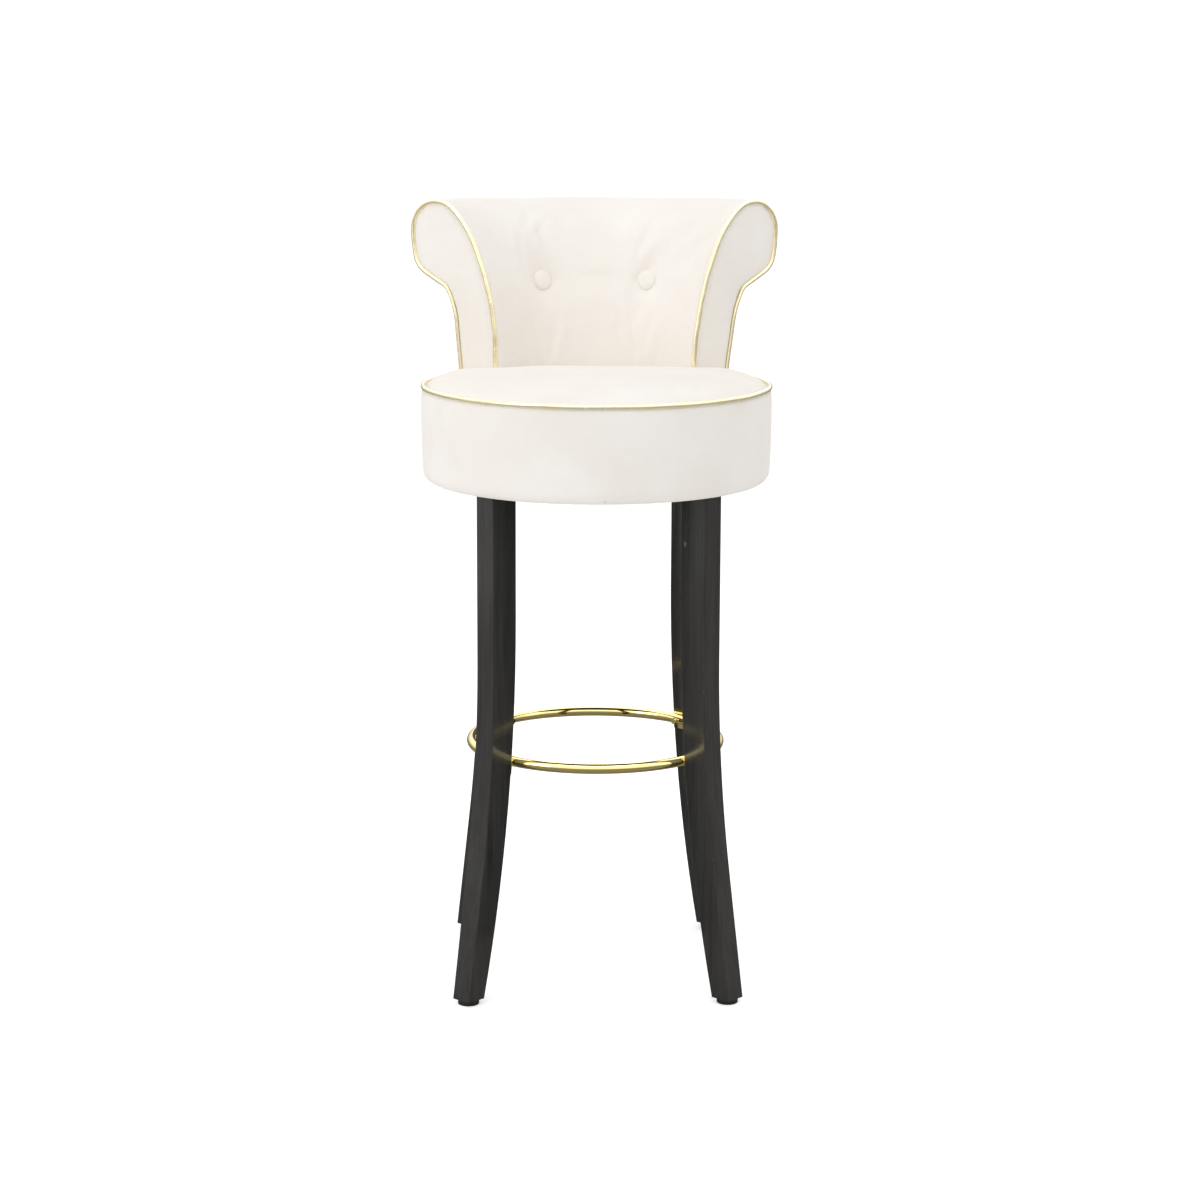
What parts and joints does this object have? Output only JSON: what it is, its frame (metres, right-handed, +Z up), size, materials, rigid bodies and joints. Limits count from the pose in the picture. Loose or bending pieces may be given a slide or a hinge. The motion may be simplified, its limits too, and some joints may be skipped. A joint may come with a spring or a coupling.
{
  "type": "bar stool",
  "caption": "Upholstered bar stool with a round seat drum, a curved roll-over back, black sabre legs and a round gold footrest ring.",
  "frame": {"origin": "on the floor, on the seat's own axis, midway between the four glides", "axes": "+Z up, -Y towards the sitter's front, +X to the right seen from the front"},
  "size_m": [0.4792, 0.5156, 0.9955],
  "materials": {
    "cover_fabric": "cream velvet with a soft sheen",
    "gold_piping": "metallic gold piping cord, polished",
    "gold_ring": "polished gold-coloured tube",
    "leg_wood": "black stained, satin, open grain",
    "frame_plywood": "raw plywood",
    "foam": "upholstery foam",
    "board": "bent fibreboard",
    "dust_cloth": "black non-woven cloth",
    "glide_plastic": "black plastic",
    "fixing_steel": "zinc-plated",
    "twine": "waxed twine"
  },
  "bodies": {
    "root": {"seat_deck": "frame_plywood", "seat_hoop": "frame_plywood", "base_board": "frame_plywood", "leg_cheeks": "frame_plywood", "seat_foam": "foam", "side_padding": "foam", "seat_top_cover": "cover_fabric", "seat_side_band": "cover_fabric", "seat_piping": "gold_piping", "dust_cover": "dust_cloth", "leg_front_right": "leg_wood", "leg_rear_right": "leg_wood", "leg_rear_left": "leg_wood", "leg_front_left": "leg_wood", "glide_front_right": "glide_plastic", "glide_rear_right": "glide_plastic", "glide_rear_left": "glide_plastic", "glide_front_left": "glide_plastic", "glide_nails": "fixing_steel", "leg_bolts": "fixing_steel", "leg_nuts": "fixing_steel", "footrest_ring": "gold_ring", "footrest_tabs": "gold_ring", "footrest_screws": "gold_ring", "back_bottom_rail": "frame_plywood", "back_top_rail": "frame_plywood", "former_end_right": "frame_plywood", "former_mid_right": "frame_plywood", "former_mid_left": "frame_plywood", "former_end_left": "frame_plywood", "back_panel": "frame_plywood", "outer_back_board": "board", "back_bolts": "fixing_steel", "back_foam": "foam", "roll_foam": "foam", "inside_back_cover": "cover_fabric", "outside_back_cover": "cover_fabric", "wing_panel_right": "cover_fabric", "wing_panel_left": "cover_fabric", "wing_piping_right": "gold_piping", "wing_piping_left": "gold_piping", "button_right": "cover_fabric", "button_left": "cover_fabric", "button_ties": "twine", "tie_toggles": "glide_plastic"}
  },
  "joints": []
}
